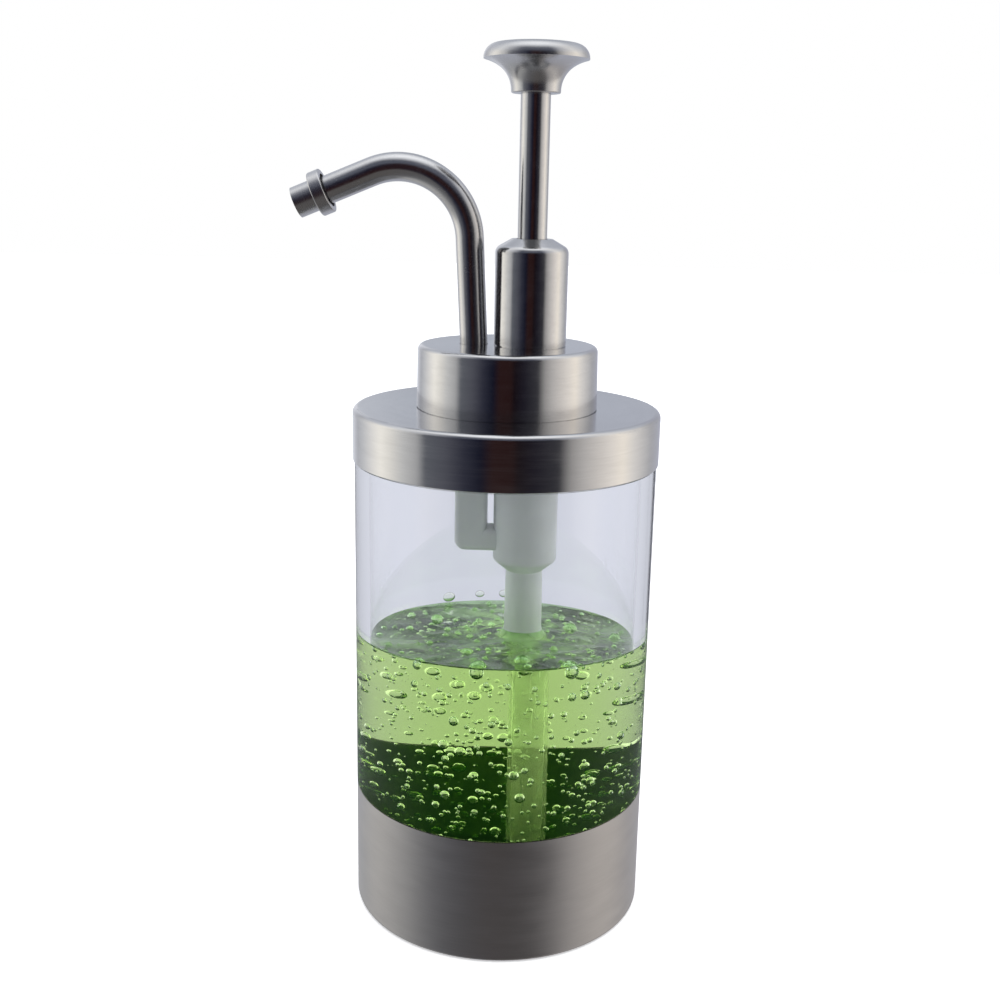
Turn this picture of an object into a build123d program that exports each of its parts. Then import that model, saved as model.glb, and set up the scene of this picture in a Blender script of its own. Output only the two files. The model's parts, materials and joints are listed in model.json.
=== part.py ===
from build123d import *

import os
from math import cos, radians, sin, sqrt, tan

# Condiment pump dispenser: a clear jar in a steel base cup, and a lift-off lid that
# carries a spring-return piston pump with a gooseneck spout.
# Lengths are millimetres and angles degrees. The origin is the centre of the foot's
# underside, +Z is up the jar's axis, and the spout reaches towards -X.

# ---------------------------------------------------------------- driving dimensions

# Clearances
seat_gap = 0.05  # radial, between pieces of one body that are pushed or screwed together
running_gap = 0.05  # radial, between a sliding piece and the bore that guides it
lift_gap = 0.3  # between the lid's pieces and the jar that they lift out of
passing_gap = 0.15  # round the pump and the spout where they pass through a plate
end_gap = 0.2  # between the faces of moving pieces at the ends of their travel

# Base cup and its foot
base_height = 36.4
base_sheet = 0.9
base_floor = 1.4
base_edge_radius = 1.0
foot_inset = 5.5  # from the cup's side to the foot's rim
foot_thickness = 1.0
foot_recess = 0.8
foot_bevel = 0.2

# Jar
jar_radius = 42.5
jar_wall = 4.0
jar_showing = 97.1
jar_floor_thickness = 4.0
jar_edge_bevel = 0.4
gel_depth = 80.9

# Lid
lid_overhang = 0.5  # beyond the jar's side
lid_height = 14.7
lid_sheet = 0.8
lid_edge_radius = 1.6
lid_lip_radius = 0.25
skirt_gap = 0.1
plug_flange_thickness = 1.6
plug_depth = 8.0
plug_plate = 3.6
plug_wall = 3.0
hub_gap = 2.0  # from the hub to the collar's inside
hub_height = 3.0
vent_radius = 0.8
vent_offset = 14.0
lid_seal_width = 2.0
lid_seal_depth = 1.8
lid_seal_drop = 4.0
lid_seal_corner_radius = 0.6

# Collar
collar_radius = 25.2
collar_draft = 0.3
collar_height = 17.4
collar_sheet = 1.2
collar_edge_radius = 1.5
seam_height = 0.25  # of the undercut where the collar and the bell stand on a plate
seam_depth = 0.4

# Pump barrel, its flange and the foot valve
pump_x = 6.0
barrel_radius = 9.1
bore_radius = 7.5
barrel_shoulder_gap = 0.5
bore_roof = 6.4
neck_radius = 7.9
neck_height = 10.0
neck_bore_radius = 5.0
flange_radius = 12.0
flange_thickness = 3.0
column_flange_radius = 7.5
gasket_thickness = 1.0
gasket_inset = 0.2
valve_cone_rise = 1.2  # from the level of the valve's floor up to the cone outside it
valve_cone_height = 3.2
valve_rim_height = 1.0
valve_rim_radius = 1.8
valve_sleeve_radius = 5.5
valve_sleeve_draft = 0.2
valve_sleeve_length = 20.6
valve_seat_wall = 0.8
valve_bore_radius = 2.2
valve_pocket_radius = 3.7
cage_thickness = 1.2
cage_hole_radius = 0.9
cage_hole_count = 6
inlet_ball_radius = 2.75
inlet_ball_lift = 1.3

# Riser column and side channel of the pump body
spout_spacing = 15.5  # from the pump's axis to the spout's
column_width = 9.0
column_corner_radius = 3.0
column_edge_radius = 1.6
socket_radius = 5.6
channel_height = 6.4
channel_bore_radius = 2.2
channel_bore_rise = 0.3  # from the cage on the foot valve up to the channel's bore
channel_plug_radius = 2.6
channel_plug_length = 2.2
channel_plug_edge_radius = 1.2
socket_top_gap = 2.6  # filled by the spout's seal ring
outlet_ball_radius = 2.75
outlet_ball_lift = 2.0
outlet_pocket_radius = 3.5

# Dip tube
dip_radius = 4.3
dip_bore_radius = 3.4
dip_floor_gap = 3.0
dip_cut_angle = 25.0

# Plunger
stroke = 32.0
rod_radius = 4.0
knob_stop_gap = 5.6  # left between knob and bell when the knob is down
rod_stud_radius = 3.0
rod_stud_length = 7.0
rod_socket_depth = 2.0
piston_height = 9.0
piston_stud_radius = 2.5
piston_groove_depth = 1.5
piston_groove_width = 1.6
piston_seal_corner_radius = 0.5
piston_nut_flats = 8.0
piston_nut_height = 3.5
piston_stud_overhang = 0.8

# Return spring
spring_wire_radius = 0.5
spring_mean_radius = 5.7
spring_turns = 6.5
spring_spare = 0.8  # left between the coils when the knob is down

# Bell
bell_radius = 10.0
bell_height = 28.8
bell_crown_radius = 5.6
bell_crown_drop = 2.5
bell_shoulder_radius = 2.3
bell_cavity_radius = 7.0
bell_thread_length = 12.0
bell_roof = 2.2
rod_hole_gap = 0.3
bush_height = 7.5
wiper_height = 1.9

# Knob
knob_radius = 14.0
knob_neck_radius = 6.6
knob_neck_height = 0.6
knob_flare_radius = 7.5
knob_flare_angle = 57.0
knob_rim_rise = 8.6
knob_rim_height = 0.2
knob_crown_radius = 10.1
knob_crown_drop = 0.3
knob_height = 12.8
knob_edge_radius = 0.4

# Spout and nozzle
spout_radius = 3.85
spout_wall = 1.0
spout_lean = 3.0
spout_lean_bend_radius = 60.0
spout_riser = 28.7
spout_bend_radius = 19.4
spout_droop = 22.5
spout_run = 14.3
nozzle_ring_radius = 6.1
nozzle_ring_width = 3.5
nozzle_ring_edge_radius = 0.4
nozzle_recess_radius = 4.65
nozzle_recess_depth = 1.2
nozzle_sleeve_radius = 4.25
nozzle_sleeve_length = 5.7
nozzle_spigot_step = 0.45  # turned off the tube where it enters the nozzle
nozzle_spigot_length = 6.0

# ---------------------------------------------------------------- levels and radii

base_bottom_z = foot_thickness - foot_recess
base_rim_z = base_bottom_z + base_height
foot_radius = jar_radius - foot_inset
jar_bottom_z = base_bottom_z + base_floor
jar_inner_floor_z = jar_bottom_z + jar_floor_thickness
jar_bore_radius = jar_radius - jar_wall
jar_foot_radius = jar_radius - base_sheet - seat_gap
gel_level_z = jar_inner_floor_z + gel_depth

lid_radius = jar_radius + lid_overhang
lid_skirt_z = base_rim_z + jar_showing
lid_top_z = lid_skirt_z + lid_height
lid_under_z = lid_top_z - lid_sheet
jar_rim_z = lid_under_z - plug_flange_thickness
jar_neck_radius = lid_radius - lid_sheet - skirt_gap
plug_radius = jar_bore_radius - lift_gap
plug_under_z = lid_under_z - plug_plate
plug_bottom_z = jar_rim_z - plug_depth
lid_seal_z = jar_rim_z - lid_seal_drop

collar_top_z = lid_top_z + collar_height
collar_under_z = collar_top_z - collar_sheet
hub_radius = collar_radius - collar_sheet - hub_gap

spout_x = pump_x - spout_spacing
barrel_top_z = collar_under_z - barrel_shoulder_gap
bore_top_z = barrel_top_z - bore_roof
neck_top_z = collar_top_z + neck_height
flange_top_z = plug_under_z - gasket_thickness
flange_bottom_z = flange_top_z - flange_thickness
socket_top_z = collar_under_z - socket_top_gap
column_left = spout_x - column_width / 2
column_right = spout_x + column_width / 2

# The plunger hangs from the bore's roof, and the spring, pressed solid, sets the bore's length
piston_top_z = bore_top_z - end_gap
piston_bottom_z = piston_top_z - piston_height
piston_nut_bottom_z = piston_bottom_z - piston_nut_height
spring_room = (2 * spring_turns + 2) * spring_wire_radius + spring_spare
bell_top_z = collar_top_z + bell_height
bell_ceiling_z = bell_top_z - bell_roof
knob_bottom_z = bell_top_z + stroke + knob_stop_gap
rod_shoulder_z = knob_bottom_z + rod_socket_depth

cage_top_z = piston_bottom_z - stroke - spring_room
cage_bottom_z = cage_top_z - cage_thickness
inlet_ball_z = cage_bottom_z - end_gap - inlet_ball_lift - inlet_ball_radius
inlet_seat_depth = sqrt(inlet_ball_radius**2 - valve_bore_radius**2) + running_gap
inlet_seat_z = inlet_ball_z - inlet_seat_depth
valve_floor_z = inlet_seat_z - valve_seat_wall
valve_cone_z = valve_floor_z + valve_cone_rise
valve_rim_z = valve_cone_z + valve_cone_height
barrel_bottom_z = valve_rim_z + valve_rim_height
valve_sleeve_z = valve_floor_z - valve_sleeve_length
dip_bottom_z = jar_inner_floor_z + dip_floor_gap

channel_axis_z = cage_top_z + channel_bore_rise + channel_bore_radius
channel_bottom_z = channel_axis_z - channel_height / 2
channel_top_z = channel_axis_z + channel_height / 2

# The outlet's cage closes the ball's pocket, level with the flange's underside
outlet_pocket_z = flange_bottom_z
outlet_cage_top_z = outlet_pocket_z + cage_thickness
outlet_ball_z = outlet_pocket_z - end_gap - outlet_ball_lift - outlet_ball_radius
outlet_seat_depth = sqrt(outlet_ball_radius**2 - channel_bore_radius**2) + running_gap
outlet_seat_z = outlet_ball_z - outlet_seat_depth

jar_axis = Axis.Z
pump_axis = Axis((pump_x, 0, 0), (0, 0, 1))
pump_on_xz = Plane((pump_x, 0, 0), x_dir=(1, 0, 0), z_dir=(0, -1, 0))

# The spout's centre line, as corners in the XZ plane that are rounded into arcs
spout_foot_z = outlet_cage_top_z + end_gap
lean_corner = Vector(spout_x, collar_top_z)
riser_direction = Vector(-sin(radians(spout_lean)), cos(radians(spout_lean)))
droop_direction = Vector(-cos(radians(spout_droop)), -sin(radians(spout_droop)))
spout_turn = 90 + spout_droop - spout_lean
bend_tangent = spout_bend_radius * tan(radians(spout_turn / 2))
bend_corner = lean_corner + riser_direction * (spout_riser + bend_tangent)
nozzle_spigot_radius = spout_radius - nozzle_spigot_step
spout_end = bend_corner + droop_direction * (bend_tangent + spout_run)
nozzle_plane = Plane(
    origin=(spout_end.X, 0, spout_end.Y),
    x_dir=(0, 1, 0),
    z_dir=(droop_direction.X, 0, droop_direction.Y),
)

os.makedirs("parts", exist_ok=True)

STANDING = (Align.CENTER, Align.CENTER, Align.MIN)


def post(x, bottom, top, radius, mode=Mode.ADD):
    """A round post between two heights on the axis at x, or a bore with Mode.SUBTRACT."""
    with Locations((x, 0, bottom)):
        Cylinder(radius, top - bottom, align=STANDING, mode=mode)


def finish(builder, name):
    """Labels a finished piece and writes it."""
    builder.part.label = name
    export_step(builder.part, f"parts/{name}.step")


# ---------------------------------------------------------------- base and jar

with BuildPart() as base_cup:
    post(0, base_bottom_z, base_rim_z, jar_radius)
    fillet(base_cup.edges().sort_by(Axis.Z)[0], base_edge_radius)
    post(0, jar_bottom_z, base_rim_z, jar_radius - base_sheet, mode=Mode.SUBTRACT)
    post(0, base_bottom_z, foot_thickness, foot_radius + seat_gap, mode=Mode.SUBTRACT)
finish(base_cup, "base_cup")

with BuildPart() as foot_pad:
    post(0, 0, foot_thickness, foot_radius)
    chamfer(foot_pad.edges().sort_by(Axis.Z)[0], foot_bevel)
finish(foot_pad, "foot_pad")

with BuildPart() as jar_tube:
    with BuildSketch(Plane.XZ):
        with BuildLine():
            Polyline(
                (jar_bore_radius, jar_bottom_z),
                (jar_foot_radius, jar_bottom_z),
                (jar_foot_radius, base_rim_z),
                (jar_radius, base_rim_z),
                (jar_radius, lid_skirt_z - lift_gap),
                (jar_neck_radius, lid_skirt_z - lift_gap),
                (jar_neck_radius, jar_rim_z),
                (jar_bore_radius, jar_rim_z),
                close=True,
            )
        make_face()
    revolve(axis=jar_axis)
    chamfer(jar_tube.edges().filter_by(GeomType.CIRCLE).group_by(Axis.Z)[-1], jar_edge_bevel)
finish(jar_tube, "jar_tube")

with BuildPart() as jar_floor:
    post(0, jar_bottom_z, jar_inner_floor_z, jar_bore_radius)
finish(jar_floor, "jar_floor")

with BuildPart() as gel_fill:
    post(0, jar_inner_floor_z, gel_level_z, jar_bore_radius)
    sleeve_hole_z = valve_sleeve_z - lift_gap
    post(pump_x, dip_bottom_z, gel_level_z, dip_radius + lift_gap, mode=Mode.SUBTRACT)
    post(pump_x, sleeve_hole_z, gel_level_z, valve_sleeve_radius + lift_gap, mode=Mode.SUBTRACT)
finish(gel_fill, "gel_fill")

# ---------------------------------------------------------------- lid, plug and collar

with BuildPart() as lid_shell:
    post(0, lid_skirt_z, lid_top_z, lid_radius)
    fillet(lid_shell.edges().sort_by(Axis.Z)[-1], lid_edge_radius)
    post(0, lid_skirt_z, lid_under_z, lid_radius - lid_sheet, mode=Mode.SUBTRACT)
    fillet(lid_shell.faces().sort_by(Axis.Z)[0].edges(), lid_lip_radius)
    post(0, lid_under_z, lid_top_z, hub_radius + passing_gap, mode=Mode.SUBTRACT)
finish(lid_shell, "lid_shell")

with BuildPart() as lid_plug:
    with BuildSketch(Plane.XZ):
        with BuildLine():
            Polyline(
                (0, plug_under_z),
                (plug_radius - plug_wall, plug_under_z),
                (plug_radius - plug_wall, plug_bottom_z),
                (plug_radius, plug_bottom_z),
                (plug_radius, jar_rim_z),
                (jar_neck_radius, jar_rim_z),
                (jar_neck_radius, lid_under_z),
                (hub_radius, lid_under_z),
                (hub_radius, lid_under_z + hub_height),
                (0, lid_under_z + hub_height),
                close=True,
            )
        make_face()
        with Locations((plug_radius, lid_seal_z)):
            Rectangle(2 * lid_seal_depth, lid_seal_width, mode=Mode.SUBTRACT)
    revolve(axis=jar_axis)
    with BuildSketch(Plane.XY.offset(plug_under_z)):
        with Locations((pump_x, 0)):
            Circle(barrel_radius + passing_gap)
        with Locations((spout_x, 0)):
            Circle(socket_radius + passing_gap)
        with Locations((pump_x, vent_offset)):
            Circle(vent_radius)
    extrude(amount=plug_plate + hub_height, mode=Mode.SUBTRACT)
finish(lid_plug, "lid_plug")

with BuildPart() as lid_seal_ring:
    seal_outer_radius = jar_bore_radius - running_gap
    seal_inner_radius = plug_radius - lid_seal_depth + seat_gap
    with BuildSketch(Plane.XZ):
        with Locations((seal_outer_radius, lid_seal_z)):
            RectangleRounded(
                seal_outer_radius - seal_inner_radius,
                lid_seal_width - 2 * seat_gap,
                lid_seal_corner_radius,
                align=(Align.MAX, Align.CENTER),
            )
    revolve(axis=jar_axis)
finish(lid_seal_ring, "lid_seal_ring")

with BuildPart() as collar_cap:
    with BuildSketch(Plane.XZ):
        with BuildLine():
            Polyline(
                (0, collar_top_z),
                (collar_radius - collar_draft, collar_top_z),
                (collar_radius, lid_top_z + seam_height),
                (collar_radius - seam_depth, lid_top_z + seam_height),
                (collar_radius - seam_depth, lid_top_z),
                (collar_radius - collar_sheet, lid_top_z),
                (collar_radius - collar_draft - collar_sheet, collar_under_z),
                (0, collar_under_z),
                close=True,
            )
        make_face()
    revolve(axis=jar_axis)
    fillet(collar_cap.edges().filter_by(GeomType.CIRCLE).group_by(Axis.Z)[-1], collar_edge_radius)
    post(pump_x, collar_under_z, collar_top_z, neck_radius + passing_gap, mode=Mode.SUBTRACT)
    post(spout_x, collar_under_z, collar_top_z, spout_radius + passing_gap, mode=Mode.SUBTRACT)
finish(collar_cap, "collar_cap")

# ---------------------------------------------------------------- pump body and valves


def flange_outline(shrink):
    """One outline round the barrel and the riser column, in the sketch being made."""
    with BuildLine(mode=Mode.PRIVATE) as circles:
        with Locations((pump_x, 0)):
            CenterArc((0, 0), flange_radius - shrink, 0, 360)
        with Locations((spout_x, 0)):
            CenterArc((0, 0), column_flange_radius - shrink, 0, 360)
    make_hull(circles.edges())


with BuildPart() as pump_body:
    # Riser column and side channel, one L-shaped bar with rounded edges
    with BuildSketch(Plane.XZ):
        with BuildLine():
            FilletPolyline(
                (column_left, flange_top_z),
                (column_left, channel_bottom_z),
                (pump_x, channel_bottom_z),
                radius=column_corner_radius,
            )
            Polyline(
                (pump_x, channel_bottom_z),
                (pump_x, channel_top_z),
                (column_right, channel_top_z),
                (column_right, flange_top_z),
                (column_left, flange_top_z),
            )
        make_face()
    extrude(amount=column_width / 2, both=True)
    flat_sides = pump_body.faces().filter_by(Axis.Y)
    side_edges = flat_sides.edges().filter_by(
        lambda edge: edge.center().Z < flange_top_z - end_gap
        and edge.center().X < pump_x - end_gap
    )
    fillet(side_edges, column_edge_radius)
    # Barrel, flange, spout socket and threaded neck
    post(pump_x, barrel_bottom_z, barrel_top_z, barrel_radius)
    post(pump_x, barrel_top_z, neck_top_z, neck_radius)
    post(spout_x, flange_bottom_z, socket_top_z, socket_radius)
    with BuildSketch(Plane.XY.offset(flange_bottom_z)):
        flange_outline(0)
    extrude(amount=flange_thickness)
    # Bores of the barrel and the neck
    post(pump_x, barrel_bottom_z, bore_top_z, bore_radius, mode=Mode.SUBTRACT)
    post(pump_x, bore_top_z, neck_top_z, neck_bore_radius, mode=Mode.SUBTRACT)
    # Side channel, drilled through from the left, with a pocket for its plug
    with Locations(Plane((column_left, 0, channel_axis_z), z_dir=(-1, 0, 0))):
        CounterBoreHole(
            channel_bore_radius,
            channel_plug_radius + seat_gap,
            channel_plug_length,
            pump_x - column_left,
        )
    # Passage up the column: valve seat, ball pocket and the bore that takes the spout
    post(spout_x, channel_axis_z, outlet_seat_z, channel_bore_radius, mode=Mode.SUBTRACT)
    post(spout_x, outlet_seat_z, outlet_pocket_z, outlet_pocket_radius, mode=Mode.SUBTRACT)
    post(spout_x, outlet_pocket_z, socket_top_z, spout_radius + seat_gap, mode=Mode.SUBTRACT)
finish(pump_body, "pump_body")

with BuildPart() as pump_gasket:
    with BuildSketch(Plane.XY.offset(flange_top_z)):
        flange_outline(gasket_inset)
        with Locations((pump_x, 0)):
            Circle(barrel_radius + seat_gap, mode=Mode.SUBTRACT)
        with Locations((spout_x, 0)):
            Circle(socket_radius + seat_gap, mode=Mode.SUBTRACT)
    extrude(amount=gasket_thickness)
finish(pump_gasket, "pump_gasket")

with BuildPart() as channel_plug:
    with Locations(Plane((column_left, 0, channel_axis_z), z_dir=(1, 0, 0))):
        Cylinder(channel_plug_radius, channel_plug_length, align=STANDING)
    fillet(channel_plug.edges().sort_by(Axis.X)[0], channel_plug_edge_radius)
finish(channel_plug, "channel_plug")

with BuildPart() as foot_valve:
    with BuildSketch(pump_on_xz):
        with BuildLine():
            Polyline(
                (valve_bore_radius, valve_floor_z),
                (dip_radius + seat_gap, valve_floor_z),
                (dip_radius + seat_gap, valve_sleeve_z),
                (valve_sleeve_radius, valve_sleeve_z),
                (valve_sleeve_radius - valve_sleeve_draft, valve_cone_z),
                (barrel_radius, valve_rim_z),
                (barrel_radius, barrel_bottom_z),
                (bore_radius - seat_gap, barrel_bottom_z),
                (bore_radius - seat_gap, cage_bottom_z),
                (valve_pocket_radius, cage_bottom_z),
                (valve_pocket_radius, inlet_seat_z),
                (valve_bore_radius, inlet_seat_z),
                close=True,
            )
        make_face()
    revolve(axis=pump_axis)
    rims = foot_valve.edges().filter_by(GeomType.CIRCLE).group_by(SortBy.RADIUS)[-1]
    fillet(rims.sort_by(Axis.Z)[0], valve_rim_radius)
finish(foot_valve, "foot_valve")

# Each check valve: a ball on its seat, and over it a disc with a ring of holes
for name, x, ball_z, ball_radius, cage_z, cage_radius, pocket_radius in (
    (
        "inlet",
        pump_x,
        inlet_ball_z,
        inlet_ball_radius,
        cage_bottom_z,
        bore_radius - seat_gap,
        valve_pocket_radius,
    ),
    (
        "outlet",
        spout_x,
        outlet_ball_z,
        outlet_ball_radius,
        outlet_pocket_z,
        spout_radius,
        outlet_pocket_radius,
    ),
):
    with BuildPart() as ball:
        with Locations((x, 0, ball_z)):
            Sphere(ball_radius)
    finish(ball, f"{name}_ball")
    with BuildPart() as cage:
        with BuildSketch(Plane.XY.offset(cage_z)):
            with Locations((x, 0)):
                Circle(cage_radius)
                with PolarLocations(pocket_radius - cage_hole_radius, cage_hole_count):
                    Circle(cage_hole_radius, mode=Mode.SUBTRACT)
        extrude(amount=cage_thickness)
    finish(cage, f"{name}_ball_cage")

with BuildPart() as spout_seal_ring:
    post(spout_x, socket_top_z, collar_under_z, socket_radius)
    post(spout_x, socket_top_z, collar_under_z, spout_radius + seat_gap, mode=Mode.SUBTRACT)
finish(spout_seal_ring, "spout_seal_ring")

with BuildPart() as dip_tube:
    post(pump_x, dip_bottom_z, valve_floor_z, dip_radius)
    post(pump_x, dip_bottom_z, valve_floor_z, dip_bore_radius, mode=Mode.SUBTRACT)
    slant = Plane((pump_x + dip_radius, 0, dip_bottom_z)).rotated((0, dip_cut_angle, 0))
    split(bisect_by=slant, keep=Keep.TOP)
finish(dip_tube, "dip_tube")

# ---------------------------------------------------------------- plunger

with BuildPart() as plunger_rod:
    stud_bottom_z = piston_nut_bottom_z - piston_stud_overhang
    post(pump_x, stud_bottom_z, piston_top_z, piston_stud_radius)
    post(pump_x, piston_top_z, rod_shoulder_z, rod_radius)
    post(pump_x, rod_shoulder_z, rod_shoulder_z + rod_stud_length, rod_stud_radius)
finish(plunger_rod, "plunger_rod")

piston_radius = bore_radius - running_gap
piston_groove_z = piston_bottom_z + piston_height / 2

with BuildPart() as piston:
    post(pump_x, piston_bottom_z, piston_top_z, piston_radius)
    stud_bore_radius = piston_stud_radius + seat_gap
    post(pump_x, piston_bottom_z, piston_top_z, stud_bore_radius, mode=Mode.SUBTRACT)
    with BuildSketch(pump_on_xz):
        with Locations((piston_radius, piston_groove_z)):
            Rectangle(2 * piston_groove_depth, piston_groove_width)
    revolve(axis=pump_axis, mode=Mode.SUBTRACT)
finish(piston, "piston")

with BuildPart() as piston_seal_ring:
    with BuildSketch(pump_on_xz):
        with Locations((piston_radius, piston_groove_z)):
            RectangleRounded(
                piston_groove_depth - seat_gap,
                piston_groove_width - 2 * seat_gap,
                piston_seal_corner_radius,
                align=(Align.MAX, Align.CENTER),
            )
    revolve(axis=pump_axis)
finish(piston_seal_ring, "piston_seal_ring")

with BuildPart() as piston_nut:
    with BuildSketch(Plane.XY.offset(piston_nut_bottom_z)):
        with Locations((pump_x, 0)):
            RegularPolygon(piston_nut_flats / 2, side_count=6, major_radius=False)
            Circle(piston_stud_radius + seat_gap, mode=Mode.SUBTRACT)
    extrude(amount=piston_nut_height)
finish(piston_nut, "piston_nut")

with BuildPart() as return_spring:
    spring_rise = piston_bottom_z - cage_top_z - 2 * spring_wire_radius
    with BuildLine():
        coil = Helix(
            pitch=spring_rise / spring_turns,
            height=spring_rise,
            radius=spring_mean_radius,
            center=(pump_x, 0, cage_top_z + spring_wire_radius),
        )
    with BuildSketch(Plane(origin=coil @ 0, z_dir=coil % 0)):
        Circle(spring_wire_radius)
    sweep(path=coil, is_frenet=True)
finish(return_spring, "return_spring")

with BuildPart() as push_knob:
    rim_z = knob_bottom_z + knob_rim_rise
    shoulder_z = rim_z + knob_rim_height
    knob_top_z = knob_bottom_z + knob_height
    with BuildSketch(pump_on_xz):
        with BuildLine():
            underside = Line((0, knob_bottom_z), (knob_neck_radius, knob_bottom_z))
            neck = Line(underside @ 1, (knob_neck_radius, knob_bottom_z + knob_neck_height))
            flare = JernArc(neck @ 1, (0, 1), knob_flare_radius, -knob_flare_angle)
            bevel = TangentArc(flare @ 1, (knob_radius, rim_z), tangent=flare % 1)
            Line(bevel @ 1, (knob_radius, shoulder_z))
            shoulder = EllipticalCenterArc(
                (knob_crown_radius, shoulder_z),
                knob_radius - knob_crown_radius,
                knob_top_z - knob_crown_drop - shoulder_z,
            )
            crown = TangentArc((0, knob_top_z), shoulder @ 1, tangent=(1, 0))
            Line(crown @ 0, underside @ 0)
        make_face()
    revolve(axis=pump_axis)
    fillet(push_knob.edges().filter_by(GeomType.CIRCLE).group_by(Axis.Z)[0], knob_edge_radius)
    post(pump_x, knob_bottom_z, rod_shoulder_z, rod_radius + seat_gap, mode=Mode.SUBTRACT)
    stud_hole_top_z = rod_shoulder_z + rod_stud_length + end_gap
    post(pump_x, rod_shoulder_z, stud_hole_top_z, rod_stud_radius + seat_gap, mode=Mode.SUBTRACT)
finish(push_knob, "push_knob")

# ---------------------------------------------------------------- bell and rod guide

with BuildPart() as pump_bell:
    with BuildSketch(pump_on_xz):
        with BuildLine():
            Polyline(
                (0, collar_top_z),
                (bell_radius - seam_depth, collar_top_z),
                (bell_radius - seam_depth, collar_top_z + seam_height),
                (bell_radius, collar_top_z + seam_height),
                (bell_radius, bell_top_z - bell_crown_drop),
                (bell_crown_radius, bell_top_z),
                (0, bell_top_z),
                close=True,
            )
        make_face()
    revolve(axis=pump_axis)
    fillet(pump_bell.edges().filter_by(GeomType.CIRCLE).group_by(Axis.Z)[-2], bell_shoulder_radius)
    thread_top_z = collar_top_z + bell_thread_length
    post(pump_x, collar_top_z, thread_top_z, neck_radius + seat_gap, mode=Mode.SUBTRACT)
    post(pump_x, thread_top_z, bell_ceiling_z, bell_cavity_radius, mode=Mode.SUBTRACT)
    post(pump_x, bell_ceiling_z, bell_top_z, rod_radius + rod_hole_gap, mode=Mode.SUBTRACT)
finish(pump_bell, "pump_bell")

# The wiper ring lies against the bell's ceiling and the bush holds it there
wiper_bottom_z = bell_ceiling_z - wiper_height
for name, bottom, top in (
    ("rod_wiper_ring", wiper_bottom_z, bell_ceiling_z),
    ("rod_bush", wiper_bottom_z - bush_height, wiper_bottom_z),
):
    with BuildPart() as sleeve:
        post(pump_x, bottom, top, bell_cavity_radius - seat_gap)
        post(pump_x, bottom, top, rod_radius + running_gap, mode=Mode.SUBTRACT)
    finish(sleeve, name)

# ---------------------------------------------------------------- spout and nozzle

with BuildPart() as spout_tube:
    with BuildLine(Plane.XZ) as spout_line:
        FilletPolyline(
            (spout_x, spout_foot_z),
            (lean_corner.X, lean_corner.Y),
            (bend_corner.X, bend_corner.Y),
            (spout_end.X, spout_end.Y),
            radius=[spout_lean_bend_radius, spout_bend_radius],
        )
    with BuildSketch(Plane.XY.offset(spout_foot_z)):
        with Locations((spout_x, 0)):
            Circle(spout_radius)
            Circle(spout_radius - spout_wall, mode=Mode.SUBTRACT)
    sweep(path=spout_line.wire())
    with BuildSketch(nozzle_plane):
        Circle(nozzle_spigot_radius)
        Circle(spout_radius - spout_wall, mode=Mode.SUBTRACT)
    extrude(amount=nozzle_spigot_length)
finish(spout_tube, "spout_tube")

with BuildPart() as nozzle_tip:
    with BuildSketch(nozzle_plane.offset(-nozzle_recess_depth)):
        Circle(nozzle_ring_radius)
    extrude(amount=nozzle_ring_width)
    fillet(nozzle_tip.edges().filter_by(GeomType.CIRCLE), nozzle_ring_edge_radius)
    with Locations(nozzle_plane.offset(nozzle_ring_width - nozzle_recess_depth)):
        Cylinder(nozzle_sleeve_radius, nozzle_sleeve_length, align=STANDING)
    with Locations(nozzle_plane.offset(-nozzle_recess_depth)):
        Cylinder(
            nozzle_recess_radius, nozzle_recess_depth, align=STANDING, mode=Mode.SUBTRACT
        )
    with Locations(nozzle_plane):
        Cylinder(
            nozzle_spigot_radius + seat_gap,
            nozzle_spigot_length + end_gap,
            align=STANDING,
            mode=Mode.SUBTRACT,
        )
        Cylinder(
            spout_radius - spout_wall,
            nozzle_ring_width + nozzle_sleeve_length,
            align=STANDING,
            mode=Mode.SUBTRACT,
        )
finish(nozzle_tip, "nozzle_tip")
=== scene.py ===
import json
from math import cos, exp, pi, radians, sin, sqrt
from random import Random

import bmesh
import bpy
import numpy as np
from mathutils import Matrix, Vector, noise


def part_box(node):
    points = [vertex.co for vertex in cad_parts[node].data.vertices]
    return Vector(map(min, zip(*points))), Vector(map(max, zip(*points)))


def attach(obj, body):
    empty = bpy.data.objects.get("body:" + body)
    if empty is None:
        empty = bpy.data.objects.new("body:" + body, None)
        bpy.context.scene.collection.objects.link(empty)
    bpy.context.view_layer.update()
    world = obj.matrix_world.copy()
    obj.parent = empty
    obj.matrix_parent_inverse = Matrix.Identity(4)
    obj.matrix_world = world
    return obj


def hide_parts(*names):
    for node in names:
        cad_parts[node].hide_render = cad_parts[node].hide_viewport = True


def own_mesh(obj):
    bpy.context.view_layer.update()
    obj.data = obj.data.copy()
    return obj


# The looks of a condiment pump dispenser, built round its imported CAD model: brushed steel,
# a clear jar, moulded plastic, and the bubbly green gel in the jar. Lengths are metres.

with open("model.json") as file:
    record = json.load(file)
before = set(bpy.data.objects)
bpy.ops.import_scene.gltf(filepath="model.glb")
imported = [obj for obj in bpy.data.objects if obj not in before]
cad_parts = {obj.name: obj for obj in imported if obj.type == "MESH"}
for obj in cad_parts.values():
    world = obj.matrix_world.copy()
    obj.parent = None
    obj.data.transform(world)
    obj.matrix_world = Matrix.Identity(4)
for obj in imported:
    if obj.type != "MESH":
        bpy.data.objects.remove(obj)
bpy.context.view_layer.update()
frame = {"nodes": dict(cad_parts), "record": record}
nodes = frame["nodes"]
MM = 0.001

# ---------------------------------------------------------------- places from the frame

gel_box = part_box("gel_fill")
dip_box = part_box("dip_tube")
spring_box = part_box("return_spring")
valve_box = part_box("foot_valve")

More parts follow.
